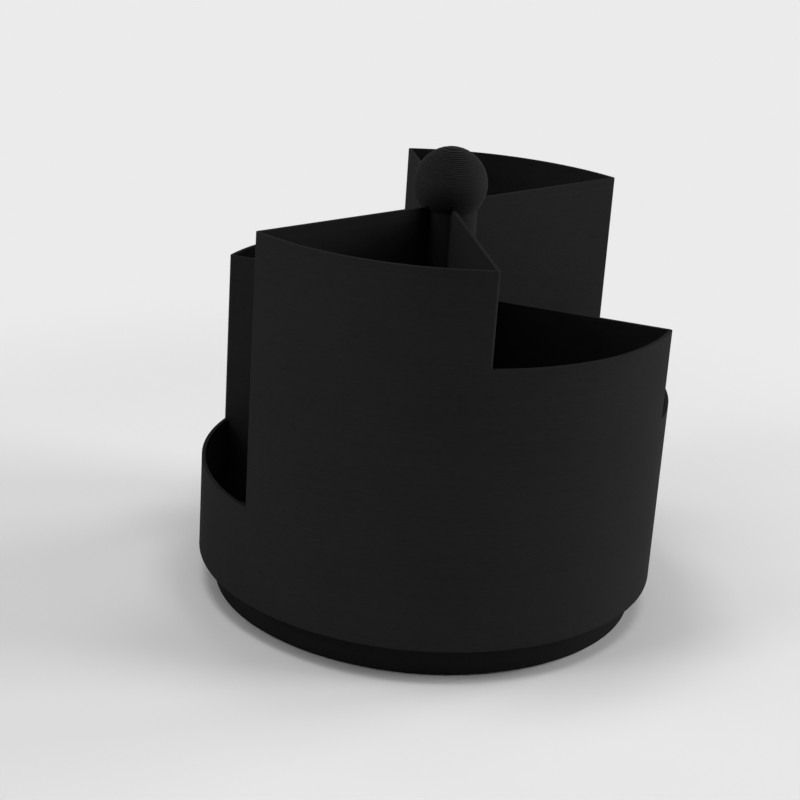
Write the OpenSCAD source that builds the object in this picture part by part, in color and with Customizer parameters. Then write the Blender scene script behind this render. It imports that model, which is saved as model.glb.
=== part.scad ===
// Rotating desk organizer: a round drum with six open compartments of four depths,
// which turns on a ball race inside a low round base and is spun by the ball on its column.
// Millimetres, Z up, the origin on the desk under the middle of the base, the front at -Y.

/* [Drum] */
// Outer diameter of the drum
drum_d = 155; // [148:1:200]
// Thickness of the drum's outer wall
wall_t = 1.2; // [0.8:0.1:2.4]
// Thickness of the dividers between the compartments
divider_t = 1.2; // [0.8:0.1:2.4]
// Thickness of the drum's floor
drum_floor_t = 2.6; // [2:0.1:5]
// Depth of the left front compartment, the lowest
depth_low = 30; // [20:1:50]
// Depth of the right back compartment
depth_half = 60; // [52:1:80]
// Depth of the right front and left back compartments
depth_mid = 90; // [82:1:110]
// Depth of the front and back compartments, the tallest
depth_tall = 120; // [112:1:150]
// Radius of the upright corners where a wall stands above its neighbour
corner_r = 1.1; // [0.3:0.1:1.4]

/* [Column and knob] */
// Outer diameter of the column
column_d = 18.6; // [17:0.1:22]
// Thickness of the column's wall
column_wall_t = 2.3; // [1.2:0.1:2.4]
// Height of the solid foot inside the column, above the drum's floor
column_foot_h = 6; // [3:0.5:12]
// Depth of the knob's seat below the tallest rim
knob_drop = 1.4; // [0:0.1:10]
// Diameter of the ball knob
knob_d = 24; // [23:0.5:36]
// Length of the knob's spigot in the column
spigot_l = 14; // [6:1:30]

/* [Base] */
// Outer diameter of the base
base_d = 143.4; // [136:0.2:147]
// Height of the base's side
base_h = 10.4; // [9.8:0.1:14]
// Thickness of the base's floor
base_floor_t = 2; // [1.6:0.1:2.6]
// Thickness of the base's side
base_wall_t = 2.4; // [1.2:0.1:3]
// Diameter of the boss round the pivot bolt
boss_d = 24; // [18:0.5:40]
// Running gap between the base's rim and the drum
run_gap = 0.5; // [0.3:0.1:1]

/* [Feet] */
// Diameter of a foot pad
foot_d = 12; // [6:0.5:16]
// Thickness of a foot pad
foot_t = 1.5; // [1:0.1:1.6]
// How far a foot pad stands out under the base
foot_proud = 0.5; // [0.4:0.1:0.8]
// Distance from the base's side in to the middles of the foot pads
foot_inset = 11.7; // [9:0.1:30]

/* [Ball race] */
// Diameter of the circle through the middles of the balls
race_d = 112; // [80:1:118]
// Diameter of a ball
ball_d = 5; // [4.4:0.1:5.4]
// Depth of the groove in each race ring
groove_depth = 1.1; // [0.8:0.1:1.4]
// Width of a race ring
race_w = 11; // [8:0.5:12]
// Thickness of the upper race ring
upper_race_t = 3; // [2.2:0.1:3.2]
// Thickness of the cage that spaces the balls
cage_t = 1.4; // [0.8:0.1:1.8]
// Width of the cage
cage_w = 8.4; // [7:0.1:10]
// Height of the lips that locate the race rings
lip_h = 1.2; // [0.6:0.1:1.6]
// Thickness of the lips that locate the race rings
lip_t = 1.6; // [1:0.1:3]

/* [Pivot] */
// Diameter of the pivot bolt
bolt_d = 6; // [5:0.5:7]
// Width of metal round the bolt in its head and nuts
nut_wall_t = 2; // [1.6:0.1:2.2]
// Height of the bolt's head
head_h = 4; // [2.5:0.1:4.2]
// How far the bolt's head is sunk into the base
head_sink = 0.4; // [0.2:0.1:0.8]
// Height of the nut that clamps the bolt to the base
clamp_nut_h = 3.2; // [2.4:0.1:3.4]
// Height of the lock nut's hexagon
lock_nut_h = 5; // [4:0.1:8]
// Height of the lock nut's round collar
collar_h = 1.2; // [0.6:0.1:2]
// Width of metal round the bolt in the lock nut's collar
collar_wall_t = 1.4; // [0.8:0.1:1.6]
// How far the bolt stands out above the lock nut
bolt_proud = 1.4; // [0.4:0.1:4]
// Thickness of the sleeve round the bolt
bush_wall_t = 1.5; // [1:0.1:1.8]
// Diameter of the sleeve's flange
bush_flange_d = 13; // [12:0.5:18]
// Thickness of the sleeve's flange
bush_flange_t = 1.2; // [0.8:0.1:1.4]
// Diameter of the washer under the lock nut
washer_d = 12; // [11.5:0.1:12.4]
// Thickness of the washer
washer_t = 1.2; // [0.6:0.1:2]

/* [Hidden] */
$fn = 120;

PRINT_BLACK = [0.10, 0.10, 0.105];
RUBBER_BLACK = [0.05, 0.05, 0.05];
STEEL_GREY = [0.62, 0.63, 0.65];
BRASS_YELLOW = [0.76, 0.62, 0.32];
NYLON_WHITE = [0.86, 0.85, 0.80];

// Clearances: between pieces that are pushed together, of the bolt turning in its sleeve,
// of the hexagon in its pocket, of a ball in its groove and its pocket, and between faces that pass
seat_gap = 0.03;
bolt_gap = 0.05;
hex_gap = 0.1;
ball_gap = 0.05;
pocket_gap = 0.15;
face_gap = 0.2;
// How far a cutting shape runs past the surface that it cuts
cut = 1;

// Compartments, anticlockwise seen from above, each a sixth of the drum
FRONT = 0;
RIGHT_FRONT = 1;
RIGHT_BACK = 2;
BACK = 3;
LEFT_BACK = 4;
LEFT_FRONT = 5;
SECTORS = 6;
SECTOR_ANGLE = 360 / SECTORS;
FRONT_ANGLE = -90;
FIRST_ANGLE = FRONT_ANGLE - SECTOR_ANGLE / 2;
DEPTHS = [depth_tall, depth_mid, depth_half, depth_tall, depth_mid, depth_low];
FOOT_PADS = 6;
RACE_BALLS = 16;
// Largest share of a wall's thickness that a corner's rounding takes
MAX_ROUNDING = 0.95;

drum_r = drum_d / 2;
column_r = column_d / 2;
bore_r = column_r - column_wall_t;
knob_r = knob_d / 2;
base_r = base_d / 2;
race_r = race_d / 2;
ball_r = ball_d / 2;
bolt_r = bolt_d / 2;
nut_r = (bolt_r + nut_wall_t) / cos(30);
bush_bore_r = bolt_r + bolt_gap;
bush_r = bush_bore_r + bush_wall_t;
fillet_r = min(corner_r, MAX_ROUNDING * wall_t, MAX_ROUNDING * divider_t);

// Heights, from the desk up
base_z = foot_proud;
base_floor_z = base_z + base_floor_t;
drum_z = base_z + base_h + run_gap;
floor_z = drum_z + drum_floor_t;
column_top_z = floor_z + depth_tall - knob_drop;
knob_z = column_top_z + sqrt(knob_r * knob_r - column_r * column_r);
groove_r = ball_r + ball_gap;
ball_z = drum_z - upper_race_t + groove_depth - groove_r;
lower_race_top_z = ball_z - groove_r + groove_depth;
head_z = base_z + head_sink;
head_top_z = head_z + head_h;
flange_z = drum_z - bush_flange_t;
boss_top_z = flange_z - face_gap - clamp_nut_h;
bush_top_z = floor_z + column_foot_h + face_gap;
washer_z = bush_top_z + face_gap;
lock_nut_z = washer_z + washer_t;
bolt_top_z = lock_nut_z + lock_nut_h + collar_h + bolt_proud;

// Compartment i runs from start_angle(i) to start_angle(i + 1), and divider i stands at its end.
// A divider belongs to the taller of its two compartments, and has its thickness inside it.
function start_angle(i) = FIRST_ANGLE + SECTOR_ANGLE * i;
function depth_of(i) = DEPTHS[(i + SECTORS) % SECTORS];
function owns_end(i) = depth_of(i) >= depth_of(i + 1);
function owns_start(i) = depth_of(i) > depth_of(i - 1);
function along(a) = [cos(a), sin(a)];
function across(a) = [-sin(a), cos(a)];
// Corner where the faces of compartment i's two dividers would meet, near the axis
function sector_apex(i) =
    let (
        first = owns_start(i) ? divider_t : 0,
        last = owns_end(i) ? divider_t : 0,
        a = start_angle(i)
    )
    across(a) * first + along(a) * (last + first * cos(SECTOR_ANGLE)) / sin(SECTOR_ANGLE);

module tube(outer_r, inner_r, h) {
    difference() {
        cylinder(r = outer_r, h = h);
        translate([0, 0, -cut]) cylinder(r = inner_r, h = h + 2 * cut);
    }
}

// Upright prism over the clear space of compartment i, from the axis to past the drum
module sector_prism(i, h) {
    apex = sector_apex(i);
    reach = 2 * drum_r;
    linear_extrude(h) polygon([
        apex,
        apex + along(start_angle(i)) * reach,
        apex + along(start_angle(i + 1)) * reach
    ]);
}

module sector_wall(i) {
    h = depth_of(i);
    color(PRINT_BLACK) translate([0, 0, floor_z]) intersection() {
        tube(drum_r, drum_r - wall_t, h);
        sector_prism(i, h);
    }
}

// What comes off the end of a divider to round its upright outer corner
module corner_cut(side, h) {
    centre_y = side * fillet_r;
    centre_x = sqrt(pow(drum_r - fillet_r, 2) - centre_y * centre_y);
    away = fillet_r + cut;
    translate([centre_x, centre_y, 0]) difference() {
        linear_extrude(h) polygon([[0, 0], [away, 0], [away, -side * away], [0, -side * away]]);
        translate([0, 0, -cut]) cylinder(r = fillet_r, h = h + 2 * cut);
    }
}

module divider(i) {
    side = owns_end(i) ? -1 : 1;
    h = max(depth_of(i), depth_of(i + 1));
    shared_h = min(depth_of(i), depth_of(i + 1));
    color(PRINT_BLACK) translate([0, 0, floor_z]) rotate(start_angle(i + 1)) difference() {
        intersection() {
            translate([0, side > 0 ? 0 : -divider_t, 0]) cube([drum_r, divider_t, h]);
            cylinder(r = drum_r, h = h);
        }
        translate([0, 0, -cut]) cylinder(r = column_r, h = h + 2 * cut);
        if (shared_h < h) translate([0, 0, shared_h]) corner_cut(side, h - shared_h + cut);
    }
}

module drum_floor() {
    lip_r = race_r - race_w / 2 - seat_gap;
    color(PRINT_BLACK) {
        translate([0, 0, drum_z]) tube(drum_r, bush_r + seat_gap, drum_floor_t);
        translate([0, 0, drum_z - lip_h]) tube(lip_r, lip_r - lip_t, lip_h);
    }
}

module column() {
    color(PRINT_BLACK) {
        translate([0, 0, floor_z]) tube(column_r, bush_r + seat_gap, column_foot_h);
        translate([0, 0, floor_z + column_foot_h])
            tube(column_r, bore_r, column_top_z - floor_z - column_foot_h);
    }
}

// Ball with a flat seat on the column's end and a spigot inside it
module knob() {
    color(PRINT_BLACK) {
        intersection() {
            translate([0, 0, knob_z]) sphere(r = knob_r);
            translate([-knob_r, -knob_r, column_top_z]) cube([knob_d, knob_d, knob_d + knob_r]);
        }
        translate([0, 0, column_top_z - spigot_l]) cylinder(r = bore_r - seat_gap, h = spigot_l + cut);
    }
}

module base_pan() {
    lip_r = race_r - race_w / 2 - seat_gap;
    color(PRINT_BLACK) difference() {
        union() {
            translate([0, 0, base_z]) cylinder(r = base_r, h = base_floor_t);
            translate([0, 0, base_z]) tube(base_r, base_r - base_wall_t, base_h);
            translate([0, 0, base_z]) cylinder(r = boss_d / 2, h = boss_top_z - base_z);
            translate([0, 0, base_floor_z]) tube(lip_r, lip_r - lip_t, lip_h);
        }
        translate([0, 0, base_z - cut]) cylinder(r = nut_r + hex_gap, h = head_sink + head_h + cut, $fn = 6);
        translate([0, 0, base_z]) cylinder(r = bolt_r + seat_gap, h = base_h);
        for (i = [1:FOOT_PADS]) translate(foot_place(i))
            cylinder(r = foot_d / 2 + seat_gap, h = foot_t);
    }
}

function foot_place(i) = concat(along(360 / FOOT_PADS * (i - 1)) * (base_r - foot_inset), [0]);

module foot_pad(i) {
    color(RUBBER_BLACK) translate(foot_place(i)) cylinder(r = foot_d / 2, h = foot_t);
}

// Ring with its groove centred on the balls' circle, at ball_z
module race_ring(z, h) {
    difference() {
        translate([0, 0, z]) tube(race_r + race_w / 2, race_r - race_w / 2, h);
        translate([0, 0, ball_z]) rotate_extrude() translate([race_r, 0]) circle(r = groove_r);
    }
}

module lower_race() {
    color(STEEL_GREY) race_ring(base_floor_z, lower_race_top_z - base_floor_z);
}

module upper_race() {
    color(STEEL_GREY) race_ring(drum_z - upper_race_t, upper_race_t);
}

module at_ball(i) {
    rotate(360 / RACE_BALLS * (i - 1)) translate([race_r, 0, ball_z]) children();
}

module race_ball(i) {
    color(STEEL_GREY) at_ball(i) sphere(r = ball_r);
}

module ball_cage() {
    color(NYLON_WHITE) difference() {
        translate([0, 0, ball_z - cage_t / 2]) tube(race_r + cage_w / 2, race_r - cage_w / 2, cage_t);
        for (i = [1:RACE_BALLS]) at_ball(i) cylinder(r = ball_r + pocket_gap, h = ball_d, center = true);
    }
}

module pivot_bolt() {
    color(STEEL_GREY) {
        translate([0, 0, head_z]) cylinder(r = nut_r, h = head_h, $fn = 6);
        translate([0, 0, head_z]) cylinder(r = bolt_r, h = bolt_top_z - head_z);
    }
}

module clamp_nut() {
    color(STEEL_GREY) translate([0, 0, boss_top_z]) difference() {
        cylinder(r = nut_r, h = clamp_nut_h, $fn = 6);
        translate([0, 0, -cut]) cylinder(r = bolt_r + seat_gap, h = clamp_nut_h + 2 * cut);
    }
}

module pivot_bush() {
    color(BRASS_YELLOW) translate([0, 0, flange_z]) {
        tube(bush_flange_d / 2, bush_bore_r, bush_flange_t);
        tube(bush_r, bush_bore_r, bush_top_z - flange_z);
    }
}

module thrust_washer() {
    color(STEEL_GREY) translate([0, 0, washer_z]) tube(washer_d / 2, bolt_r + seat_gap, washer_t);
}

module lock_nut() {
    color(STEEL_GREY) translate([0, 0, lock_nut_z]) difference() {
        union() {
            cylinder(r = nut_r, h = lock_nut_h, $fn = 6);
            cylinder(r = bolt_r + collar_wall_t, h = lock_nut_h + collar_h);
        }
        translate([0, 0, -cut]) cylinder(r = bolt_r + seat_gap, h = lock_nut_h + collar_h + 2 * cut);
    }
}

base_pan();
for (i = [1:FOOT_PADS]) foot_pad(i);
lower_race();
pivot_bolt();
clamp_nut();
thrust_washer();
lock_nut();
ball_cage();
for (i = [1:RACE_BALLS]) race_ball(i);
upper_race();
pivot_bush();
drum_floor();
column();
knob();
sector_wall(FRONT);  // wall_front
sector_wall(RIGHT_FRONT);  // wall_right_front
sector_wall(RIGHT_BACK);  // wall_right_back
sector_wall(BACK);  // wall_back
sector_wall(LEFT_BACK);  // wall_left_back
sector_wall(LEFT_FRONT);  // wall_left_front
divider(FRONT);  // divider_front_right
divider(RIGHT_FRONT);  // divider_right
divider(RIGHT_BACK);  // divider_back_right
divider(BACK);  // divider_back_left
divider(LEFT_BACK);  // divider_left
divider(LEFT_FRONT);  // divider_front_left
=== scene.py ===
"""Looks of a rotating desk organizer: a printed drum and knob on a low base that holds a ball race."""

import logging
import math
import random
from collections.abc import Callable, Iterable
from dataclasses import dataclass, field
from enum import Enum, IntEnum

import bmesh
import bpy
from mathutils import Matrix, Vector


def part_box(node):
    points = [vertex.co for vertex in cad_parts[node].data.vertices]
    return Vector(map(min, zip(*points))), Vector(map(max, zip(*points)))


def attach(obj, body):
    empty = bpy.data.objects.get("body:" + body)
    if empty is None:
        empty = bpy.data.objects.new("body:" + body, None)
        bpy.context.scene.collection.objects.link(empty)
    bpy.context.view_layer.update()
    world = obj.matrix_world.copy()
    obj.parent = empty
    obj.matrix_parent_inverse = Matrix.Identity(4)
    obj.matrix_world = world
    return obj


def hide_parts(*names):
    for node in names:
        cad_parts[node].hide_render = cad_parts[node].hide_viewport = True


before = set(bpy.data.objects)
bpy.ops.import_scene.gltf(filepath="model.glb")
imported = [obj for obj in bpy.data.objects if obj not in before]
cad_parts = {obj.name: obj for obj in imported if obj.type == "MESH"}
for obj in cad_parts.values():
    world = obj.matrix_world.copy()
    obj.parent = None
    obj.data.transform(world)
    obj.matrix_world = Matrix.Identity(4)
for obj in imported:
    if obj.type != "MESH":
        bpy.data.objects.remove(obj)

LOG = logging.getLogger("organizer")
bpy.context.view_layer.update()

# Lengths in metres, angles in degrees

MM = 0.001
TINY = 1e-7
SHARP_ANGLE = 35.0
LIP = 1.6 * MM
RACE_SEAT = 11.03 * MM
HEX_CHAMFER_SHARE = 0.97
HEX_CHAMFER_ANGLE = 25.0
HEX_BORE_EDGE = 0.3 * MM

# Steps round a turn, compartments and colour

DISC_STEPS = 64
TURNED_STEPS = 96
HEX_STEPS = 72
SECTORS = 6
WHITE = (1.0, 1.0, 1.0, 1.0)

Point = tuple[float, float]
Outline = list[Point]
Place = tuple[float, float, float]
Colour = tuple[float, float, float]
Swell = Callable[[float, float, float], Point]
Solid = bmesh.types.BMesh
Piece = bpy.types.Object
Socket = bpy.types.NodeSocket
Node = bpy.types.Node
Tree = bpy.types.NodeTree
Sockets = bpy.types.bpy_prop_collection
Material = bpy.types.Material


class Body(Enum):
    """The bodies that pieces ride on."""

    BASE = "base"
    BALL_RING = "ball_ring"
    DRUM = "drum"


class Finish(Enum):
    """The finishes, each with its material's name and the record's slot for it."""

    DRUM_PRINT = ("drum_print", "printed_black")
    KNOB_PRINT = ("knob_print", "printed_black")
    # The base's print is a darker copy of the drum's, as painted shade under the drum's overhang.
    BASE_PRINT = ("base_print", "printed_black")
    RUBBER = ("rubber_black", "rubber_black")
    RACE = ("race_steel", "race_steel")
    ZINC = ("zinc_steel", "zinc_steel")
    BALL = ("ball_steel", "ball_steel")
    NYLON = ("nylon_white", "nylon_white")
    BRASS = ("brass", "brass")

    def __init__(self, label: str, slot: str) -> None:
        """Keeps the material's name and the record's slot."""
        self.label = label
        self.slot = slot


# Mesh helpers


def smooth(mesh: bpy.types.Mesh, sharp_angle: float = SHARP_ANGLE) -> None:
    """Makes a mesh's faces smooth and keeps its edges above an angle in degrees sharp."""
    mesh.shade_smooth()
    mesh.set_sharp_from_angle(angle=math.radians(sharp_angle))


def link_object(name: str, data: bpy.types.ID) -> Piece:
    """Makes an object of its data and links it into the scene."""
    made = bpy.data.objects.new(name, data)
    bpy.context.scene.collection.objects.link(made)
    return made


def add_object(name: str, bm: Solid, sharp_angle: float = SHARP_ANGLE) -> Piece:
    """Turns a bmesh into an object with smooth faces and sharp edges.

    Args:
        name: Name of the object and its mesh.
        bm: The mesh, which is freed here.
        sharp_angle: Angle in degrees above which an edge stays sharp.

    Returns:
        The object, linked into the scene.
    """
    bmesh.ops.remove_doubles(bm, verts=bm.verts, dist=TINY)
    bmesh.ops.recalc_face_normals(bm, faces=bm.faces)
    mesh = bpy.data.meshes.new(name)
    bm.to_mesh(mesh)
    bm.free()
    smooth(mesh, sharp_angle)
    return link_object(name, mesh)


def rounded(outline: Outline, radius: float, steps: int = 3, keep: Iterable[int] = ()) -> Outline:
    """Rounds the corners of a closed outline.

    Args:
        outline: Corner points in order.
        radius: Radius of the rounding, made smaller where an edge is short.
        steps: Number of chords in each rounding.
        keep: Indices of corners that stay sharp.

    Returns:
        The outline with its corners rounded.
    """
    kept = set(keep)
    straight = math.radians(87)
    longest_share = 0.45
    result: Outline = []
    for i, (x, y) in enumerate(outline):
        corner = Vector((x, y))
        before = Vector(outline[i - 1]) - corner
        after = Vector(outline[(i + 1) % len(outline)]) - corner
        half = before.angle(after) / 2
        if radius <= 0 or i in kept or half > straight:
            result.append((x, y))
            continue
        longest = longest_share * min(before.length, after.length)
        reach = min(radius / math.tan(half), longest)
        size = reach * math.tan(half)
        centre = corner + (before.normalized() + after.normalized()).normalized() * size / math.sin(half)
        start = corner + before.normalized() * reach - centre
        sweep = start.angle_signed(corner + after.normalized() * reach - centre)
        for k in range(steps + 1):
            turned = Matrix.Rotation(-sweep * k / steps, 2) @ start
            result.append(tuple(centre + turned))
    return result


def lathe(outline: Outline, steps: int, swell: Swell | None = None) -> Solid:
    """Turns a closed outline of (radius, height) points round the Z axis.

    Args:
        outline: Closed outline. Points on the axis become poles.
        steps: Number of steps round the axis.
        swell: Optional rule that gives radius and height from angle, radius and height.

    Returns:
        The turned solid.
    """
    bm = bmesh.new()
    rings = []
    for radius, height in outline:
        if radius < TINY:
            pole = bm.verts.new((0.0, 0.0, height))
            rings.append([pole] * steps)
            continue
        ring = []
        for k in range(steps):
            angle = 2 * math.pi * k / steps
            r, z = swell(angle, radius, height) if swell else (radius, height)
            ring.append(bm.verts.new((r * math.cos(angle), r * math.sin(angle), z)))
        rings.append(ring)
    for a, b in zip(rings, rings[1:] + rings[:1]):
        for k in range(steps):
            corners = list(dict.fromkeys((a[k], a[(k + 1) % steps], b[(k + 1) % steps], b[k])))
            if len(corners) > 2:
                bm.faces.new(corners)
    return bm


def cut_away(target: Piece, cutters: list[Solid]) -> None:
    """Cuts solids out of an object and applies the result to its mesh.

    Args:
        target: Object that is cut.
        cutters: Solids to take away, each freed here.
    """
    tools = [add_object("cutter", bm) for bm in cutters]
    for tool in tools:
        cutter = target.modifiers.new("cut", "BOOLEAN")
        cutter.operation = "DIFFERENCE"
        cutter.solver = "EXACT"
        cutter.object = tool
    graph = bpy.context.evaluated_depsgraph_get()
    cut_mesh = bpy.data.meshes.new_from_object(target.evaluated_get(graph))
    target.modifiers.clear()
    whole = target.data
    target.data = cut_mesh
    cut_mesh.name = target.name
    smooth(cut_mesh)
    bpy.data.meshes.remove(whole)
    for tool in tools:
        bpy.data.objects.remove(tool)


def round_edges(target: Piece, width: float) -> None:
    """Breaks the sharp edges of an object with a small bevel of two strips.

    Args:
        target: Object whose edges are rounded.
        width: Width of the bevel in metres.
    """
    bevel = target.modifiers.new("edges", "BEVEL")
    bevel.width = width
    bevel.segments = 2
    bevel.limit_method = "ANGLE"
    bevel.angle_limit = math.radians(SHARP_ANGLE)


# Shader helpers


class Nodes:
    """Short ways to place and link nodes in one node tree."""

    def __init__(self, tree: Tree) -> None:
        """Keeps the tree."""
        self.tree = tree

    def add(self, kind: str, **settings: object) -> Node:
        """Adds a node.

        Args:
            kind: Blender's name of the node type.
            settings: Properties to set on it.

        Returns:
            The node.
        """
        made = self.tree.nodes.new(kind)
        for name, value in settings.items():
            setattr(made, name, value)
        return made

    def link(self, source: Socket, target: Socket) -> None:
        """Links one socket to another."""
        self.tree.links.new(source, target)

    def math(self, operation: str, *values: Socket | float) -> Socket:
        """Adds a Math node.

        Args:
            operation: The operation's name.
            values: A number or a socket for each input.

        Returns:
            Its output.
        """
        made = self.add("ShaderNodeMath", operation=operation)
        for socket, value in zip(made.inputs, values):
            if isinstance(value, Socket):
                self.link(value, socket)
            else:
                socket.default_value = value
        return made.outputs[0]

    def noise(self, place: Socket, scale: float, detail: float) -> Socket:
        """Adds a noise texture.

        Args:
            place: Coordinates.
            scale: Scale of the noise, in waves per unit of the coordinates.
            detail: Number of finer octaves.

        Returns:
            The noise as a value.
        """
        made = self.add("ShaderNodeTexNoise")
        made.inputs["Scale"].default_value = scale
        made.inputs["Detail"].default_value = detail
        self.link(place, made.inputs["Vector"])
        return made.outputs["Fac"]

    def axes(self, vector: Socket) -> Sockets:
        """Splits a vector into its X, Y and Z outputs."""
        made = self.add("ShaderNodeSeparateXYZ")
        self.link(vector, made.inputs[0])
        return made.outputs

    def white_noise(self, number: Socket) -> Socket:
        """Gives every whole number its own random value between 0 and 1."""
        made = self.add("ShaderNodeTexWhiteNoise", noise_dimensions="1D")
        self.link(self.math("FLOOR", number), made.inputs["W"])
        return made.outputs["Value"]

    def remap(self, value: Socket, low: float, high: float) -> Socket:
        """Maps a value between 0 and 1 to another range.

        Args:
            value: The value.
            low: Result at 0.
            high: Result at 1.

        Returns:
            The mapped value.
        """
        made = self.add("ShaderNodeMapRange")
        self.link(value, made.inputs["Value"])
        made.inputs["To Min"].default_value = low
        made.inputs["To Max"].default_value = high
        return made.outputs["Result"]

    def blend(self, factor: Socket, first: tuple, second: tuple) -> Socket:
        """Mixes two colours.

        Args:
            factor: Share of the second colour.
            first: Colour at 0.
            second: Colour at 1.

        Returns:
            The mixed colour.
        """
        made = self.add("ShaderNodeMix", data_type="RGBA")
        self.link(factor, made.inputs["Factor"])
        made.inputs["A"].default_value = (*first, 1.0)
        made.inputs["B"].default_value = (*second, 1.0)
        return made.outputs["Result"]


def make_group(name: str, inputs: Iterable[str], outputs: Iterable[str]) -> tuple[Nodes, Node, Node]:
    """Starts a shader node group with number inputs and outputs.

    Args:
        name: Name of the group.
        inputs: Input names.
        outputs: Output names.

    Returns:
        A helper that holds the group, its input node and its output node.
    """
    tree = bpy.data.node_groups.new(name, "ShaderNodeTree")
    for side, labels in (("INPUT", inputs), ("OUTPUT", outputs)):
        for label in labels:
            tree.interface.new_socket(name=label, in_out=side, socket_type="NodeSocketFloat")
    nodes = Nodes(tree)
    return nodes, nodes.add("NodeGroupInput"), nodes.add("NodeGroupOutput")


def make_print_lines() -> Tree:
    """Makes the group that draws the beads of a layered print.

    Upright faces show stacked layers, and level faces show parallel beads laid at 45 degrees. The
    beads swell and thin along their length, which gives short ripples.

    Returns:
        The group, which puts out the beads' height, a mask that differs from bead to bead, the ripples
        and a mask of the level faces.
    """
    level_from = 0.8
    ripple_detail = 3.0
    inputs = ("Layer Height", "Bead Width", "Ripple Height", "Ripple Length")
    outputs = ("Height", "Bead Mask", "Ripples", "Level")
    nodes, given, result = make_group("print_lines", inputs, outputs)
    place = nodes.add("ShaderNodeTexCoord")
    parts = nodes.axes(place.outputs["Object"])
    facing = nodes.axes(place.outputs["Normal"])
    level = nodes.math("GREATER_THAN", nodes.math("ABSOLUTE", facing["Z"]), level_from)
    layers = nodes.math("DIVIDE", parts["Z"], given.outputs["Layer Height"])
    across = nodes.math("MULTIPLY", nodes.math("ADD", parts["X"], parts["Y"]), math.sqrt(0.5))
    beads = nodes.math("DIVIDE", across, given.outputs["Bead Width"])
    stacked = nodes.math("MULTIPLY", layers, nodes.math("SUBTRACT", 1.0, level))
    count = nodes.math("ADD", stacked, nodes.math("MULTIPLY", beads, level))
    crown = nodes.math("ABSOLUTE", nodes.math("SINE", nodes.math("MULTIPLY", count, math.pi)))
    stretched = nodes.add("ShaderNodeCombineXYZ")
    for axis, label in (("X", "Ripple Length"), ("Y", "Ripple Length"), ("Z", "Ripple Height")):
        nodes.link(nodes.math("DIVIDE", parts[axis], given.outputs[label]), stretched.inputs[axis])
    nodes.link(nodes.math("SQRT", crown), result.inputs["Height"])
    nodes.link(nodes.white_noise(count), result.inputs["Bead Mask"])
    nodes.link(nodes.noise(stretched.outputs[0], 1.0, ripple_detail), result.inputs["Ripples"])
    # The level mask also lets the materials paint shade onto the top faces.
    nodes.link(level, result.inputs["Level"])
    return nodes.tree


def make_fine_grain() -> Tree:
    """Makes the group of fine mottling that plastics, rubber and metal share.

    Returns:
        The group, which puts out a fine grain and broad patches.
    """
    detail = 4.0
    nodes, given, result = make_group("fine_grain", ("Grain Scale", "Patch Scale"), ("Grain", "Patches"))
    place = nodes.add("ShaderNodeTexCoord").outputs["Object"]
    for label, output in (("Grain Scale", "Grain"), ("Patch Scale", "Patches")):
        noise = nodes.noise(place, 1.0, detail)
        nodes.link(given.outputs[label], noise.node.inputs["Scale"])
        nodes.link(noise, result.inputs[output])
    return nodes.tree


def make_turned_marks() -> Tree:
    """Makes the group of fine rings that a lathe leaves on metal.

    Returns:
        The group, which puts out the rings' height and a mask of light and dark rings.
    """
    nodes, given, result = make_group("turned_marks", ("Ring Pitch",), ("Height", "Ring Mask"))
    parts = nodes.axes(nodes.add("ShaderNodeTexCoord").outputs["Object"])
    squares = [nodes.math("MULTIPLY", parts[axis], parts[axis]) for axis in ("X", "Y")]
    radius = nodes.math("SQRT", nodes.math("ADD", *squares))
    rings = nodes.math("DIVIDE", nodes.math("ADD", radius, parts["Z"]), given.outputs["Ring Pitch"])
    wave = nodes.math("SINE", nodes.math("MULTIPLY", rings, math.pi))
    nodes.link(nodes.math("ABSOLUTE", wave), result.inputs["Height"])
    nodes.link(nodes.white_noise(rings), result.inputs["Ring Mask"])
    return nodes.tree


@dataclass
class EffectGroups:
    """The node groups that several finishes share."""

    print_lines: Tree = field(default_factory=make_print_lines)
    fine_grain: Tree = field(default_factory=make_fine_grain)
    turned_marks: Tree = field(default_factory=make_turned_marks)


def place_group(nodes: Nodes, tree: Tree, *values: float) -> Sockets:
    """Places a node group in a material.

    Args:
        nodes: Helper of the material's tree.
        tree: The group.
        values: A value for each of its inputs, in their order.

    Returns:
        The group's outputs.
    """
    made = nodes.add("ShaderNodeGroup", node_tree=tree)
    for socket, value in zip(made.inputs, values):
        socket.default_value = value
    return made.outputs


def start_material(name: str) -> tuple[Material, Nodes, Node]:
    """Makes a material with one Principled BSDF.

    Args:
        name: Name of the material.

    Returns:
        The material, a helper for its nodes and the shader's node.
    """
    material = bpy.data.materials.new(name)
    material.use_nodes = True
    nodes = Nodes(material.node_tree)
    return material, nodes, material.node_tree.nodes["Principled BSDF"]


def add_bump(nodes: Nodes, shader: Node, height: Socket, strength: float, depth: float) -> None:
    """Adds a Bump node in front of a shader's normal.

    Args:
        nodes: Helper of the material's tree.
        shader: The shader's node.
        height: Height over the surface, 0 to 1.
        strength: Strength of the bump.
        depth: Real height of the relief in metres.
    """
    bump = nodes.add("ShaderNodeBump")
    bump.inputs["Strength"].default_value = strength
    bump.inputs["Distance"].default_value = depth
    nodes.link(height, bump.inputs["Height"])
    nodes.link(bump.outputs["Normal"], shader.inputs["Normal"])


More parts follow.
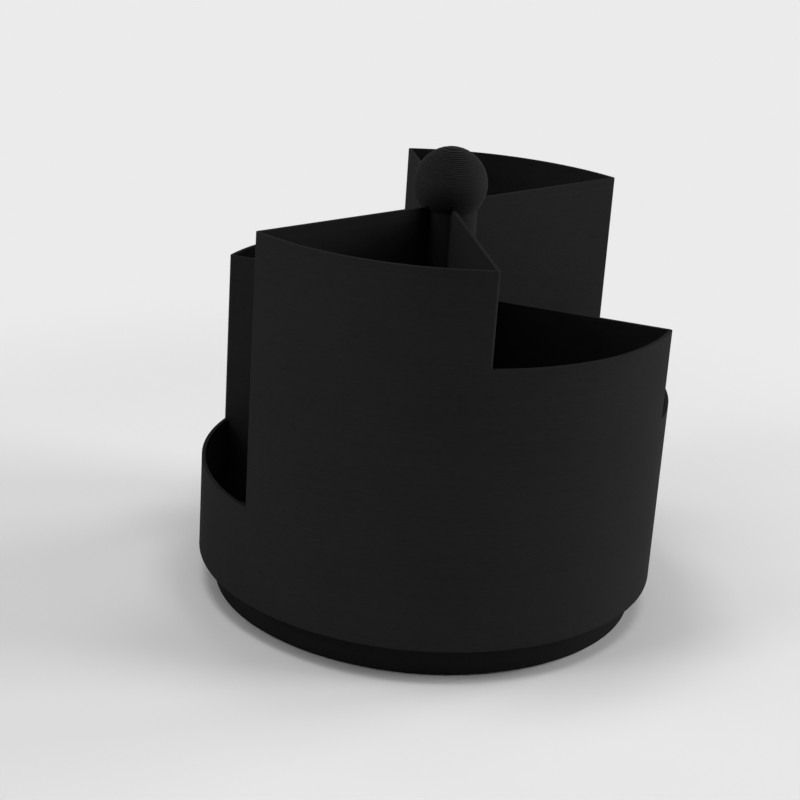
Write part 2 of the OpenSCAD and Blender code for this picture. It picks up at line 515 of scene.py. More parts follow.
@dataclass(frozen=True)
class PrintedPlastic:
    """Matt black plastic laid in fine layers, with lengths in metres."""

    dark: Colour
    light: Colour
    # Painted shade: level faces such as the rims get this much darker tone, so they stay about as dark as
    # the walls.
    painted_top_shade: float = -0.5
    roughness: tuple[float, float] = (0.58, 0.68)
    gloss: float = 0.002
    layer_height: float = 0.0003
    bead_width: float = 0.00042
    ripple_height: float = 0.00045
    ripple_length: float = 0.0022
    grain_scale: float = 2500.0
    patch_scale: float = 35.0
    base_tone: float = 0.31
    patch_tone: float = 0.28
    bead_tone: float = 0.08
    ripple_tone: float = 0.11
    ripple_range: tuple[float, float] = (-1.2, 2.2)
    grain_relief: float = 0.25
    ripple_relief: float = 4.0
    bump: float = 0.5
    relief: float = 0.00002

    def make(self, name: str, groups: EffectGroups) -> Material:
        """Makes the material.

        Args:
            name: Its name.
            groups: The shared node groups.

        Returns:
            The material.
        """
        material, nodes, shader = start_material(name)
        sizes = (self.layer_height, self.bead_width, self.ripple_height, self.ripple_length)
        lines = place_group(nodes, groups.print_lines, *sizes)
        grain = place_group(nodes, groups.fine_grain, self.grain_scale, self.patch_scale)
        tone = nodes.math("MULTIPLY_ADD", grain["Patches"], self.patch_tone, self.base_tone)
        tone = nodes.math("MULTIPLY_ADD", lines["Bead Mask"], self.bead_tone, tone)
        ripples = nodes.remap(lines["Ripples"], *self.ripple_range)
        tone = nodes.math("MULTIPLY_ADD", ripples, self.ripple_tone, tone)
        # Painted shade: the level faces get a darker tone than the upright faces.
        tone = nodes.math("MULTIPLY_ADD", lines["Level"], self.painted_top_shade, tone)
        nodes.link(nodes.blend(tone, self.dark, self.light), shader.inputs["Base Color"])
        nodes.link(nodes.remap(tone, *self.roughness), shader.inputs["Roughness"])
        shader.inputs["Specular IOR Level"].default_value = self.gloss
        height = nodes.math("MULTIPLY_ADD", grain["Grain"], self.grain_relief, lines["Height"])
        height = nodes.math("MULTIPLY_ADD", lines["Ripples"], self.ripple_relief, height)
        add_bump(nodes, shader, height, self.bump, self.relief)
        return material


@dataclass(frozen=True)
class GrainedPlastic:
    """Rubber or plastic with a fine grain over soft patches."""

    dark: Colour
    light: Colour
    roughness: tuple[float, float]
    grain_scale: float
    patch_scale: float
    bump: float
    relief: float
    gloss: float = 0.5

    def make(self, name: str, groups: EffectGroups) -> Material:
        """Makes the material.

        Args:
            name: Its name.
            groups: The shared node groups.

        Returns:
            The material.
        """
        material, nodes, shader = start_material(name)
        grain = place_group(nodes, groups.fine_grain, self.grain_scale, self.patch_scale)
        nodes.link(nodes.blend(grain["Patches"], self.dark, self.light), shader.inputs["Base Color"])
        nodes.link(nodes.remap(grain["Grain"], *self.roughness), shader.inputs["Roughness"])
        shader.inputs["Specular IOR Level"].default_value = self.gloss
        add_bump(nodes, shader, grain["Grain"], self.bump, self.relief)
        return material


@dataclass(frozen=True)
class TurnedMetal:
    """Metal with fine turning marks, from bare steel to brass."""

    dark: Colour
    light: Colour
    roughness: tuple[float, float]
    ring_pitch: float = 0.0002
    ring_tone: float = 0.4
    patch_tone: float = 0.6
    grain_scale: float = 900.0
    patch_scale: float = 80.0
    bump: float = 0.5
    relief: float = 0.000004

    def make(self, name: str, groups: EffectGroups) -> Material:
        """Makes the material.

        Args:
            name: Its name.
            groups: The shared node groups.

        Returns:
            The material.
        """
        material, nodes, shader = start_material(name)
        marks = place_group(nodes, groups.turned_marks, self.ring_pitch)
        grain = place_group(nodes, groups.fine_grain, self.grain_scale, self.patch_scale)
        patches = nodes.math("MULTIPLY", grain["Patches"], self.patch_tone)
        tone = nodes.math("MULTIPLY_ADD", marks["Ring Mask"], self.ring_tone, patches)
        nodes.link(nodes.blend(tone, self.dark, self.light), shader.inputs["Base Color"])
        nodes.link(nodes.remap(tone, *self.roughness), shader.inputs["Roughness"])
        shader.inputs["Metallic"].default_value = 1.0
        add_bump(nodes, shader, marks["Height"], self.bump, self.relief)
        return material


def make_finishes() -> dict[Finish, Material]:
    """Makes every material of the organizer.

    Returns:
        The material of each finish.
    """
    print_dark = (0.0125, 0.0125, 0.0128)
    print_light = (0.0300, 0.0300, 0.0308)
    rubber = GrainedPlastic(
        dark=(0.012, 0.012, 0.012),
        light=(0.030, 0.030, 0.029),
        roughness=(0.70, 0.90),
        grain_scale=1800.0,
        patch_scale=120.0,
        bump=0.4,
        relief=0.00006,
        gloss=0.3,
    )
    nylon = GrainedPlastic(
        dark=(0.62, 0.60, 0.53),
        light=(0.76, 0.74, 0.68),
        roughness=(0.38, 0.55),
        grain_scale=1500.0,
        patch_scale=90.0,
        bump=0.3,
        relief=0.00002,
    )
    makers = {
        Finish.DRUM_PRINT: PrintedPlastic(print_dark, print_light),
        # The knob's top gets a lighter painted shade than the drum's rims.
        Finish.KNOB_PRINT: PrintedPlastic(print_dark, print_light, painted_top_shade=-0.15),
        # Painted shade: the base's colours are darker than the drum's, for the shade under the drum's
        # overhang.
        Finish.BASE_PRINT: PrintedPlastic((0.0087, 0.0087, 0.0090), (0.0208, 0.0208, 0.0214)),
        Finish.RUBBER: rubber,
        Finish.RACE: TurnedMetal((0.36, 0.36, 0.37), (0.52, 0.52, 0.53), (0.22, 0.38)),
        Finish.ZINC: TurnedMetal((0.46, 0.47, 0.48), (0.62, 0.63, 0.64), (0.28, 0.45)),
        Finish.BALL: TurnedMetal((0.56, 0.56, 0.57), (0.64, 0.64, 0.65), (0.06, 0.12), 0.0009),
        Finish.NYLON: nylon,
        Finish.BRASS: TurnedMetal((0.52, 0.35, 0.12), (0.66, 0.48, 0.20), (0.24, 0.40)),
    }
    groups = EffectGroups()
    return {finish: maker.make(finish.label, groups) for finish, maker in makers.items()}


FINISHES = make_finishes()


def finish_piece(piece: Piece, body: Body, finish: Finish, *nodes: str) -> None:
    """Gives a piece its material, its body and the CAD nodes that it stands for.

    Args:
        piece: The piece.
        body: Body that it rides on.
        finish: Its finish.
        nodes: CAD nodes that it replaces.
    """
    piece.data.materials.clear()
    piece.data.materials.append(FINISHES[finish])
    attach(piece, body.value)
    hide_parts(*nodes)
    LOG.info("%s stands for %s on %s", piece.name, ", ".join(nodes), body.value)


def span(node: str) -> tuple[float, float]:
    """Lowest and highest height of a CAD node."""
    low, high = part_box(node)
    return low[2], high[2]


def half_width(node: str) -> float:
    """Half of a CAD node's width along X, its radius if it is round and on the axis."""
    low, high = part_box(node)
    return (high[0] - low[0]) / 2


def lip_radius() -> float:
    """Outer radius of the lips on base and drum that centre the race rings."""
    return half_width("lower_race") - RACE_SEAT


class Ring(IntEnum):
    """The rings of cells in the drum's plan that differ in height, counted from the axis out."""

    FOOT = 0
    COLUMN = 1
    LIP = 3
    WALL = 5


@dataclass
class Cell:
    """One cell of the drum's plan, filled from low to high."""

    corners: list[int]
    low: float
    high: float


@dataclass
class DrumShell:
    """The drum as one print: floor, stepped outer wall, six dividers and the column."""

    wall: float = 1.2 * MM
    divider: float = 1.2 * MM
    corner: float = 1.1 * MM
    column_wall: float = 2.3 * MM
    foot_height: float = 6.0 * MM
    bore: float = 4.58 * MM
    edge: float = 0.16 * MM
    steps: int = 30
    rounding: int = 4
    start: float = -120.0
    walls: tuple[str, ...] = ("front", "right_front", "right_back", "back", "left_back", "left_front")
    dividers: tuple[str, ...] = (
        "front_right",
        "right",
        "back_right",
        "back_left",
        "left",
        "front_left",
    )
    points: list[Point] = field(default_factory=list)
    cells: list[Cell] = field(default_factory=list)

    def __post_init__(self) -> None:
        """Takes the drum's radii and heights from the frame."""
        self.lip_low, self.floor = span("drum_floor")
        self.radius = half_width("drum_floor")
        self.column = half_width("column")
        self.column_top = span("column")[1]
        self.bottom = span("upper_race")[1]
        self.rims = [span(f"wall_{side}")[1] for side in self.walls]
        self.lip_radius = lip_radius()

    def angle(self, i: int) -> float:
        """Angle at which compartment i starts, in radians."""
        return math.radians(self.start + 360 / SECTORS * i)

    def owner(self, i: int) -> int:
        """Compartment that divider i, at the end of compartment i, belongs to."""
        after = (i + 1) % SECTORS
        return i if self.rims[i] >= self.rims[after] else after

    def make_points(self) -> tuple[list[float], list[list[int]], list[int]]:
        """Places the points where rings and upright lines of the plan cross.

        Returns:
            The ring radii, the point numbers by ring and line, and the compartment of each gap
            between lines, with the number of a divider as -1 - i.
        """
        rings = [self.bore, self.column - self.column_wall, self.column]
        rings += [self.lip_radius - LIP, self.lip_radius, self.radius - self.wall, self.radius]
        lines: list[Callable[[float], float]] = []
        gaps: list[int] = []

        def face(i: int, offset: float) -> Callable[[float], float]:
            """Angle of a divider's face at a radius."""
            return lambda r: self.angle(i + 1) + math.asin(offset / r)

        for i in range(SECTORS):
            before = (i - 1) % SECTORS
            first = face(i - 1, self.divider if self.owner(before) == i else 0.0)
            last = face(i, -self.divider if self.owner(i) == i else 0.0)
            for k in range(self.steps):
                lines.append(lambda r, k=k, a=first, b=last: a(r) + (b(r) - a(r)) * k / self.steps)
                gaps.append(i)
            lines.append(last)
            gaps.append(-1 - i)
        numbers = []
        for radius in rings:
            row = []
            for line in lines:
                row.append(len(self.points))
                self.points.append((radius * math.cos(line(radius)), radius * math.sin(line(radius))))
            numbers.append(row)
        return rings, numbers, gaps

    def fill(self, ring: int, gap: int) -> tuple[float, float]:
        """Heights that a cell is filled between.

        Args:
            ring: Number of the ring of cells, from the axis out.
            gap: Compartment of the cell, or -1 - i for divider i.

        Returns:
            The lowest and highest height.
        """
        low = self.lip_low if ring == Ring.LIP else self.bottom
        if ring == Ring.FOOT:
            return low, self.floor + self.foot_height
        if ring == Ring.COLUMN:
            return low, self.column_top
        if gap < 0:
            divider = -1 - gap
            return low, max(self.rims[divider], self.rims[(divider + 1) % SECTORS])
        return low, self.rims[gap] if ring == Ring.WALL else self.floor

    def split_corner(self, cell: Cell, i: int, neighbour: Cell) -> None:
        """Rounds the upright outer corner of a divider above the lower rim beside it.

        Args:
            cell: The divider's cell in the outer wall, which keeps the rounded part.
            i: Number of the divider.
            neighbour: The cell beside it in the lower wall, which gets the new point on their shared edge.
        """
        side = -1 if self.owner(i) == i else 1
        size = self.corner
        shared = min(self.rims[i], self.rims[(i + 1) % SECTORS])
        turn = self.angle(i + 1)
        centre = Vector((math.sqrt((self.radius - size) ** 2 - size**2), side * size))
        first = math.radians(-90 * side)
        sweep = math.atan2(centre.y, centre.x) - first
        arc = []
        for k in range(self.rounding + 1):
            angle = first + sweep * k / self.rounding
            local = centre + Vector((math.cos(angle), math.sin(angle))) * size
            turned = Matrix.Rotation(turn, 2) @ local
            arc.append(len(self.points))
            self.points.append(tuple(turned))
        both = set(cell.corners) & set(neighbour.corners)
        inner, outer = sorted(both, key=lambda n: math.hypot(*self.points[n]))
        at = cell.corners.index(outer)
        from_face = cell.corners[at - 1] == inner
        sliver = [arc[0], outer, *arc[:0:-1]] if from_face else [outer, *arc]
        self.cells.append(Cell(sliver, cell.low, shared))
        cell.corners[at : at + 1] = arc if from_face else arc[::-1]
        beside = neighbour.corners.index(outer)
        neighbour.corners.insert(beside + (neighbour.corners[beside - 1] != inner), arc[0])

    def make_cells(self) -> None:
        """Makes the plan's cells and rounds its corners."""
        rings, numbers, gaps = self.make_points()
        count = len(gaps)
        outer: dict[int, Cell] = {}
        for ring in range(len(rings) - 1):
            for j, gap in enumerate(gaps):
                after = (j + 1) % count
                near, far = numbers[ring], numbers[ring + 1]
                cell = Cell([near[j], far[j], far[after], near[after]], *self.fill(ring, gap))
                self.cells.append(cell)
                if ring == len(rings) - 2:
                    outer[j] = cell
        for j, gap in enumerate(gaps):
            if gap < 0 and self.rims[-1 - gap] != self.rims[(-gap) % SECTORS]:
                step = 1 if self.owner(-1 - gap) == -1 - gap else -1
                self.split_corner(outer[j], -1 - gap, outer[(j + step) % count])

    def raise_cells(self) -> Solid:
        """Raises the plan's cells to their heights as one closed shell.

        Returns:
            The shell.
        """
        levels = sorted({height for cell in self.cells for height in (cell.low, cell.high)})
        bm = bmesh.new()
        made: dict[tuple[int, int], bmesh.types.BMVert] = {}

        def corner(number: int, level: int) -> bmesh.types.BMVert:
            """The vertex of a plan point at a level."""
            if (number, level) not in made:
                x, y = self.points[number]
                made[number, level] = bm.verts.new((x, y, levels[level]))
            return made[number, level]

        ranges = [(levels.index(cell.low), levels.index(cell.high)) for cell in self.cells]
        sides: dict[tuple[int, int], tuple[int, int]] = {}
        for cell, (low, high) in zip(self.cells, ranges):
            bm.faces.new([corner(n, high) for n in cell.corners])
            bm.faces.new([corner(n, low) for n in reversed(cell.corners)])
            for a, b in zip(cell.corners, cell.corners[1:] + cell.corners[:1]):
                sides[a, b] = (low, high)
        for (a, b), (low, high) in sides.items():
            other_low, other_high = sides.get((b, a), (0, 0))
            for level in range(low, high):
                if not other_low <= level < other_high:
                    strip = ((a, level), (b, level), (b, level + 1), (a, level + 1))
                    bm.faces.new([corner(*place) for place in strip])
        return bm

    def build(self) -> None:
        """Builds and dresses the drum."""
        self.make_cells()
        shell = add_object("drum_shell", self.raise_cells())
        round_edges(shell, self.edge)
        walls = [f"wall_{side}" for side in self.walls]
        dividers = [f"divider_{side}" for side in self.dividers]
        nodes = ("drum_floor", "column", *walls, *dividers)
        finish_piece(shell, Body.DRUM, Finish.DRUM_PRINT, *nodes)


@dataclass
class Knob:
    """The ball knob, printed in layers, with its spigot in the column.

    The profile of a layer gives shares of its height and of the bead that it steps in by.
    """

    layer: float = 0.50 * MM
    bead: float = 0.035 * MM
    jitter: float = 0.03 * MM
    profile: tuple[Point, ...] = ((0.1, 1.0), (0.3, 0.0), (0.7, 0.0), (0.9, 1.0))
    spigot_inset: float = 2.33 * MM
    chamfer: float = 0.4 * MM
    seed: int = 7
    steps: int = 160
    sharp_angle: float = 60.0

    def outline(self) -> Outline:
        """Outline of the ball in stepped layers, closed along the axis.

        Returns:
            Points of radius and height.
        """
        low, top = span("knob")
        radius = half_width("knob")
        seat = span("column")[1]
        centre = top - radius
        spigot = half_width("column") - self.spigot_inset
        wobble = random.Random(self.seed)
        points: Outline = [(0.0, low), (spigot - self.chamfer, low), (spigot, low + self.chamfer)]
        points.append((spigot, seat))
        count = round((top - seat) / self.layer)
        height = (top - seat) / count
        for k in range(count):
            z = seat + k * height
            middle = z + height / 2 - centre
            r = math.sqrt(max(radius**2 - middle**2, self.chamfer**2)) - wobble.random() * self.jitter
            points += [(r - inset * self.bead, z + share * height) for share, inset in self.profile]
        points.append((0.0, top - self.profile[0][0] * height))
        return points

    def build(self) -> None:
        """Builds and dresses the knob."""
        knob = add_object("ball_knob", lathe(self.outline(), self.steps), self.sharp_angle)
        finish_piece(knob, Body.DRUM, Finish.KNOB_PRINT, "knob")


def disc(radius: float, low: float, high: float, edge: float = 0.0, at: Point = (0.0, 0.0)) -> Solid:
    """Makes a disc with rounded edges.

    Args:
        radius: Its radius.
        low: Height of its lower face.
        high: Height of its upper face.
        edge: Radius of its edges.
        at: Place of its middle.

    Returns:
        The disc.
    """
    outline = rounded([(0.0, low), (radius, low), (radius, high), (0.0, high)], edge, 4, keep=(0, 3))
    bm = lathe(outline, DISC_STEPS)
    bmesh.ops.translate(bm, verts=bm.verts, vec=(*at, 0.0))
    return bm


def hexagon(across: float, low: float, high: float, bore: float = 0.0, cut: Iterable[str] = ()) -> Solid:
    """Makes a hexagonal head or nut, with corners on the X axis.

    Args:
        across: Width across the flats.
        low: Height of its lower face.
        high: Height of its upper face.
        bore: Radius of its hole, 0 for none.
        cut: The ends whose corners are turned off, "low" or "high".

    Returns:
        The hexagon.
    """
    circle = HEX_CHAMFER_SHARE * across / 2
    slope = math.tan(math.radians(HEX_CHAMFER_ANGLE))
    edge = min(HEX_BORE_EDGE, bore)
    half_flat = math.pi / 6

    def swell(angle: float, radius: float, height: float) -> Point:
        """Radius and height of the hexagon's side at an angle."""
        if radius <= circle:
            return radius, height
        off_flat = (angle + half_flat) % (2 * half_flat) - half_flat
        side = radius / math.cos(half_flat - abs(off_flat))
        drop = (side - circle) * slope
        if height == high:
            return side, height - drop * ("high" in cut)
        return side, height + drop * ("low" in cut)

    outline: Outline = [(bore, low + edge), (bore + edge, low), (circle, low), (across / 2, low)]
    outline += [(across / 2, high), (circle, high), (bore + edge, high), (bore, high - edge)]
    if bore <= 0:
        outline = [(0.0, low), *outline[2:6], (0.0, high)]
    return lathe(outline, HEX_STEPS, swell)


def tube(
    bore: float, radius: float, low: float, high: float, edge: float, steps: int = TURNED_STEPS
) -> Solid:
    """Makes a ring or tube with rounded edges.

    Args:
        bore: Inner radius.
        radius: Outer radius.
        low: Height of its lower face.
        high: Height of its upper face.
        edge: Radius of its edges.
        steps: Number of steps round it.

    Returns:
        The tube.
    """
    return lathe(rounded([(bore, low), (radius, low), (radius, high), (bore, high)], edge), steps)


def merge(parts: list[Solid]) -> Solid:
    """Joins solids into one mesh.

    Args:
        parts: The solids, each freed here.

    Returns:
        The joined mesh.
    """
    whole = bmesh.new()
    for part in parts:
        mesh = bpy.data.meshes.new("part")
        part.to_mesh(mesh)
        part.free()
        whole.from_mesh(mesh)
        bpy.data.meshes.remove(mesh)
    return whole


@dataclass
class BasePan:
    """The round base with its rim, its boss for the bolt and its six foot pads."""

    side: float = 2.4 * MM
    floor: float = 2.0 * MM
    boss: float = 12.0 * MM
    lip_height: float = 1.2 * MM
    edge: float = 0.3 * MM
    bolt_hole: float = 3.05 * MM
    bolt_pocket: float = 10.2 * MM
    head_height: float = 4.0 * MM
    pads: int = 6
    pad_gap: float = 0.03 * MM
    pad_edge: float = 0.45 * MM
    steps: int = 256

    def outline(self, low: float, high: float) -> Outline:
        """Outline of the pan from the foot of its bore to the top of its boss.

        Args:
            low: Height of its underside.
            high: Height of its rim.

        Returns:
            Points of radius and height.
        """
        boss_top = span("clamp_nut")[0]
        radius = half_width("base_pan")
        wall = radius - self.side
        lip = lip_radius()
        floor = low + self.floor
        lip_top = floor + self.lip_height
        points: Outline = [(self.bolt_hole, low), (radius, low), (radius, high), (wall, high)]
        points += [(wall, floor), (lip, floor), (lip, lip_top), (lip - LIP, lip_top), (lip - LIP, floor)]
        points += [(self.boss, floor), (self.boss, boss_top), (self.bolt_hole, boss_top)]
        return rounded(points, self.edge, keep=(0, len(points) - 1))

    def build(self) -> None:
        """Builds and dresses the base and its pads."""
        low, high = span("base_pan")
        pan = add_object("base_pan_shell", lathe(self.outline(low, high), self.steps))
        head_low = span("pivot_bolt")[0]
        cutters = [hexagon(self.bolt_pocket, low - MM, head_low + self.head_height)]
        for i in range(1, self.pads + 1):
            name = f"foot_pad_{i}"
            pad_low, pad_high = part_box(name)
            middle = ((pad_low[0] + pad_high[0]) / 2, (pad_low[1] + pad_high[1]) / 2)
            pad_radius = half_width(name)
            cutters.append(disc(pad_radius + self.pad_gap, low - MM, pad_high[2], at=middle))
            pad = add_object(f"{name}_rubber", disc(pad_radius, 0.0, pad_high[2], self.pad_edge, middle))
            finish_piece(pad, Body.BASE, Finish.RUBBER, name)
        cut_away(pan, cutters)
        # The base gets the darker print, painted shade for the shade under the drum.
        finish_piece(pan, Body.BASE, Finish.BASE_PRINT, "base_pan")


@dataclass
class BallRace:
    """The two race rings, the balls between them and the cage that spaces them."""

    width: float = 11.0 * MM
    groove_gap: float = 0.05 * MM
    groove_steps: int = 16
    edge: float = 0.3 * MM
    balls: int = 16
    ball_detail: int = 4
    pocket_gap: float = 0.15 * MM
    steps: int = 192

    def __post_init__(self) -> None:
        """Takes the balls' radius, height and circle from the frame."""
        low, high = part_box("race_ball_1")
        self.ball_radius = (high[2] - low[2]) / 2
        self.ball_height = (high[2] + low[2]) / 2
        self.middle = (high[0] + low[0]) / 2

    def ring_outline(self, low: float, high: float, groove_at_top: bool) -> Outline:
        """Outline of a race ring with its ball groove.

        Args:
            low: Height of its lower face.
            high: Height of its upper face.
            groove_at_top: Whether the groove is in the upper face.

        Returns:
            Points of radius and height.
        """
        sign, face, back = (1, high, low) if groove_at_top else (-1, low, high)
        radius = self.ball_radius + self.groove_gap
        reach = math.acos(abs(self.ball_height - face) / radius)
        outer, inner = self.middle + self.width / 2, self.middle - self.width / 2
        edge = self.edge
        points: Outline = [(inner + edge, back), (outer - edge, back), (outer, back + sign * edge)]
        points += [(outer, face - sign * edge), (outer - edge, face)]
        for k in range(self.groove_steps + 1):
            angle = reach * (1 - 2 * k / self.groove_steps)
            height = self.ball_height - sign * radius * math.cos(angle)
            points.append((self.middle + radius * math.sin(angle), height))
        points += [(inner + edge, face), (inner, face - sign * edge), (inner, back + sign * edge)]
        return points

    def build(self) -> None:
        """Builds and dresses the race."""
        for node, body, top in (("lower_race", Body.BASE, True), ("upper_race", Body.DRUM, False)):
            ring = add_object(f"{node}_ring", lathe(self.ring_outline(*span(node), top), self.steps))
            finish_piece(ring, body, Finish.RACE, node)
        low, high = span("ball_cage")
        outer = half_width("ball_cage")
        turned = tube(2 * self.middle - outer, outer, low, high, self.edge, self.steps)
        half_step = Matrix.Rotation(math.pi / self.steps, 3, "Z")
        bmesh.ops.rotate(turned, verts=turned.verts, matrix=half_step)
        cage = add_object("ball_cage_ring", turned)
        pockets = []
        for k in range(self.balls):
            turn = 2 * math.pi * k / self.balls
            place = (self.middle * math.cos(turn), self.middle * math.sin(turn))
            pockets.append(disc(self.ball_radius + self.pocket_gap, low - MM, high + MM, at=place))
            bm = bmesh.new()
            bmesh.ops.create_icosphere(bm, subdivisions=self.ball_detail, radius=self.ball_radius)
            bmesh.ops.translate(bm, verts=bm.verts, vec=(*place, self.ball_height))
            node = f"race_ball_{k + 1}"
            finish_piece(add_object(f"{node}_steel", bm), Body.BALL_RING, Finish.BALL, node)
        cut_away(cage, pockets)
        finish_piece(cage, Body.BALL_RING, Finish.NYLON, "ball_cage")


@dataclass
class Pivot:
    """The bolt up from the base with its nuts and washer, and the sleeve that the drum turns on."""

    bolt: float = 3.0 * MM
    across: float = 10.0 * MM
    head_gap: float = 1.9 * MM
    tip: float = 0.6 * MM
    pitch: float = 1.0 * MM
    rows_per_turn: int = 8
    thread_depth: float = 0.35 * MM
    hole: float = 3.03 * MM
    collar: float = 4.4 * MM
    collar_height: float = 1.2 * MM
    collar_edge: float = 0.4 * MM
    overlap: float = 0.2 * MM
    edge: float = 0.2 * MM
    sleeve: float = 4.55 * MM
    sleeve_bore: float = 3.05 * MM

    def shank(self, low: float, thread_low: float, top: float, steps: int = 48) -> Solid:
        """The bolt's shank, plain below and threaded above.

        Args:
            low: Height where it leaves the head.
            thread_low: Height where the thread starts.
            top: Height of its end.
            steps: Number of steps round it.

        Returns:
            The shank.
        """
        end = top - self.tip
        rows = round((end - thread_low) / self.pitch * self.rows_per_turn)
        heights = [thread_low + (end - thread_low) * k / rows for k in range(rows + 1)]

        def swell(angle: float, radius: float, height: float) -> Point:
            """Radius of the thread at an angle and height."""
            if height < thread_low - TINY or height > end + TINY:
                return radius, height
            turn = (height / self.pitch - angle / (2 * math.pi)) % 1.0
            fade = min(1.0, (height - thread_low) / self.pitch, (end - height) / self.pitch)
            return radius - self.thread_depth * fade * abs(2 * turn - 1), height

        outline = [(0.0, low), (self.bolt, low), *((self.bolt, z) for z in heights)]
        outline += [(self.bolt - self.tip, top), (0.0, top)]
        return lathe(outline, steps, swell)

    def bush(self) -> Solid:
        """The flanged sleeve in the drum's floor.

        Returns:
            The sleeve.
        """
        low, high = span("pivot_bush")
        flange_high = span("upper_race")[1]
        flange = half_width("pivot_bush")
        outline: Outline = [(self.sleeve_bore, low), (flange, low), (flange, flange_high)]
        outline += [(self.sleeve, flange_high), (self.sleeve, high), (self.sleeve_bore, high)]
        return lathe(rounded(outline, self.edge), TURNED_STEPS)

    def build(self) -> None:
        """Builds and dresses the pivot."""
        head_low, bolt_top = span("pivot_bolt")
        clamp_low, clamp_high = span("clamp_nut")
        washer_low, washer_high = span("thrust_washer")
        nut_low, nut_high = span("lock_nut")
        head_top = clamp_low - self.head_gap
        collar_low = nut_high - self.collar_height
        ends = ("low", "high")
        head = hexagon(self.across, head_low, head_top, cut=("low",))
        shank = self.shank(head_top - self.overlap, washer_high, bolt_top)
        clamp = hexagon(self.across, clamp_low, clamp_high, self.hole, ends)
        washer = tube(self.hole, half_width("thrust_washer"), washer_low, washer_high, self.edge)
        lower = hexagon(self.across, nut_low, collar_low, self.hole, ends)
        collar = tube(self.hole, self.collar, collar_low - self.overlap, nut_high, self.collar_edge)
        hardware = {
            "pivot_bolt": merge([head, shank]),
            "clamp_nut": clamp,
            "thrust_washer": washer,
            "lock_nut": merge([lower, collar]),
        }
        for node, bm in hardware.items():
            finish_piece(add_object(f"{node}_m6", bm), Body.BASE, Finish.ZINC, node)
        finish_piece(add_object("pivot_sleeve", self.bush()), Body.DRUM, Finish.BRASS, "pivot_bush")


def seen_rays(nodes: Nodes) -> Socket:
    """Tells the rays that show the background from the rays that carry light.

    Args:
        nodes: Helper of the tree.

    Returns:
        1 for camera, glossy and transmission rays, else 0.
    """
    path = nodes.add("ShaderNodeLightPath")
    seen = nodes.math("MAXIMUM", path.outputs["Is Camera Ray"], path.outputs["Is Glossy Ray"])
    return nodes.math("MAXIMUM", seen, path.outputs["Is Transmission Ray"])


@dataclass(frozen=True)
class Softbox:
    """A square soft light that faces the object.

    Azimuth is in degrees round the object, 0 in front and 90 to the right, and elevation is in degrees
    above the floor. Power is in watts, and size and distance are in metres.
    """

    name: str
    azimuth: float
    elevation: float
    power: float
    size: float = 0.45
    distance: float = 1.6

    def hang(self, aim: Vector) -> None:
        """Puts the light into the scene.

        Args:
            aim: Point that it faces.
        """
        data = bpy.data.lights.new(self.name, "AREA")
        data.shape = "SQUARE"
        data.size = self.size
        data.energy = self.power
        away = direction(self.azimuth, self.elevation)
        light = link_object(self.name, data)
        light.location = aim + away * self.distance
        light.rotation_mode = "QUATERNION"
        light.rotation_quaternion = (-away).to_track_quat("-Z", "Y")


def direction(azimuth: float, elevation: float) -> Vector:
    """Unit vector from the object towards a place round it.

    Args:
        azimuth: Angle round the object in degrees, 0 in front and 90 to the right.
        elevation: Angle above the floor in degrees.

    Returns:
        The vector.
    """
    turn, lift = math.radians(azimuth), math.radians(elevation)
    return Vector((math.sin(turn) * math.cos(lift), -math.cos(turn) * math.cos(lift), math.sin(lift)))


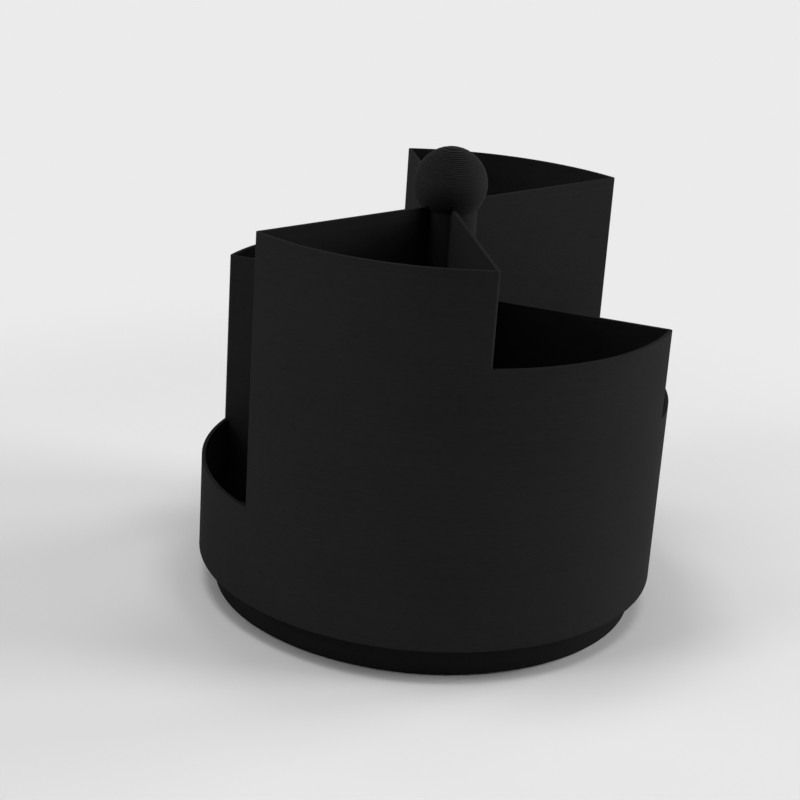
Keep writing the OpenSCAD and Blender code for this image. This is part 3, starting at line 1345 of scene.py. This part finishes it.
@dataclass
class Studio:
    """The pale floor, the soft lights and the camera, which stands where the photograph's did."""

    floor_size: float = 12.0
    floor_colour: Colour = (0.80, 0.80, 0.80)
    floor_shade: float = 0.985
    floor_patches: float = 0.6
    floor_detail: float = 2.0
    floor_roughness: float = 0.9
    floor_gloss: float = 0.1
    background: float = 0.83
    fade_start: float = 0.20
    fade_end: float = 0.34
    ambient: float = 0.02
    azimuth: float = 18.946
    elevation: float = 20.232
    roll: float = 3.880
    distance: float = 0.63283
    aim: Place = (-0.01104, -0.00379, 0.06475)
    lens: float = 84.51
    clip: tuple[float, float] = (0.01, 50.0)
    light_aim: Place = (0.0, 0.0, 0.07)
    lights: tuple[Softbox, ...] = (
        Softbox("right_back_light", 139.0, 15.0, 20.5, 0.75, 2.2),
        Softbox("right_light", 109.0, 15.0, 17.2, 0.75, 2.2),
        Softbox("right_high_light", 109.0, 35.0, 3.5),
        Softbox("right_top_light", 109.0, 75.0, 4.3),
        Softbox("front_top_light", 19.0, 75.0, 1.8),
        Softbox("left_front_light", -41.0, 15.0, 1.0),
        Softbox("left_key_light", -41.0, 35.0, 4.0),
        Softbox("left_key_high_light", -41.0, 55.0, 1.6),
        Softbox("left_low_light", -71.0, 15.0, 1.2),
        Softbox("left_high_light", -71.0, 55.0, 1.4),
        Softbox("left_top_light", -71.0, 75.0, 6.2),
        Softbox("back_top_light", 199.0, 75.0, 1.9),
    )

    def make_camera(self) -> None:
        """Places the camera at the photograph's view."""
        back = direction(self.azimuth, self.elevation)
        data = bpy.data.cameras.new("photo_camera")
        data.lens = self.lens
        data.clip_start, data.clip_end = self.clip
        camera = link_object("photo_camera", data)
        camera.rotation_mode = "QUATERNION"
        level = (-back).to_track_quat("-Z", "Y").to_matrix()
        tilt = Matrix.Rotation(math.radians(self.roll), 3, "Z")
        camera.rotation_quaternion = (level @ tilt).to_quaternion()
        camera.location = Vector(self.aim) + back * self.distance
        bpy.context.scene.camera = camera

    def make_floor(self) -> None:
        """Lays the floor, which turns into the even background away from the object."""
        bm = bmesh.new()
        bmesh.ops.create_grid(bm, x_segments=1, y_segments=1, size=self.floor_size / 2)
        floor = add_object("studio_floor", bm)
        material, nodes, shader = start_material("studio_floor")
        place = nodes.add("ShaderNodeTexCoord").outputs["Object"]
        patches = nodes.noise(place, self.floor_patches, self.floor_detail)
        darker = tuple(self.floor_shade * channel for channel in self.floor_colour)
        nodes.link(nodes.blend(patches, darker, self.floor_colour), shader.inputs["Base Color"])
        shader.inputs["Roughness"].default_value = self.floor_roughness
        shader.inputs["Specular IOR Level"].default_value = self.floor_gloss
        distance = nodes.add("ShaderNodeVectorMath", operation="LENGTH")
        nodes.link(place, distance.inputs[0])
        fade = nodes.add("ShaderNodeMapRange", interpolation_type="SMOOTHSTEP")
        fade.inputs["From Min"].default_value = self.fade_start
        fade.inputs["From Max"].default_value = self.fade_end
        nodes.link(distance.outputs["Value"], fade.inputs["Value"])
        glow = nodes.add("ShaderNodeEmission")
        glow.inputs["Color"].default_value = WHITE
        glow.inputs["Strength"].default_value = self.background
        mix = nodes.add("ShaderNodeMixShader")
        nodes.link(nodes.math("MULTIPLY", seen_rays(nodes), fade.outputs["Result"]), mix.inputs[0])
        nodes.link(shader.outputs[0], mix.inputs[1])
        nodes.link(glow.outputs[0], mix.inputs[2])
        nodes.link(mix.outputs[0], material.node_tree.nodes["Material Output"].inputs["Surface"])
        floor.data.materials.append(material)

    def make_world(self) -> None:
        """Sets a pale background with a softer light on the object."""
        world = bpy.data.worlds.new("studio_world")
        world.use_nodes = True
        nodes = Nodes(world.node_tree)
        background = world.node_tree.nodes["Background"]
        background.inputs["Color"].default_value = WHITE
        strength = nodes.remap(seen_rays(nodes), self.ambient, self.background)
        nodes.link(strength, background.inputs["Strength"])
        bpy.context.scene.world = world

    def build(self) -> None:
        """Builds the studio."""
        bpy.context.scene.view_settings.view_transform = "Standard"
        self.make_camera()
        self.make_floor()
        self.make_world()
        for light in self.lights:
            light.hang(Vector(self.light_aim))


def main() -> None:
    Studio().build()
    DrumShell().build()
    Knob().build()
    BasePan().build()
    BallRace().build()
    Pivot().build()


if __name__ == "__main__":
    logging.basicConfig(level=logging.INFO)
    main()
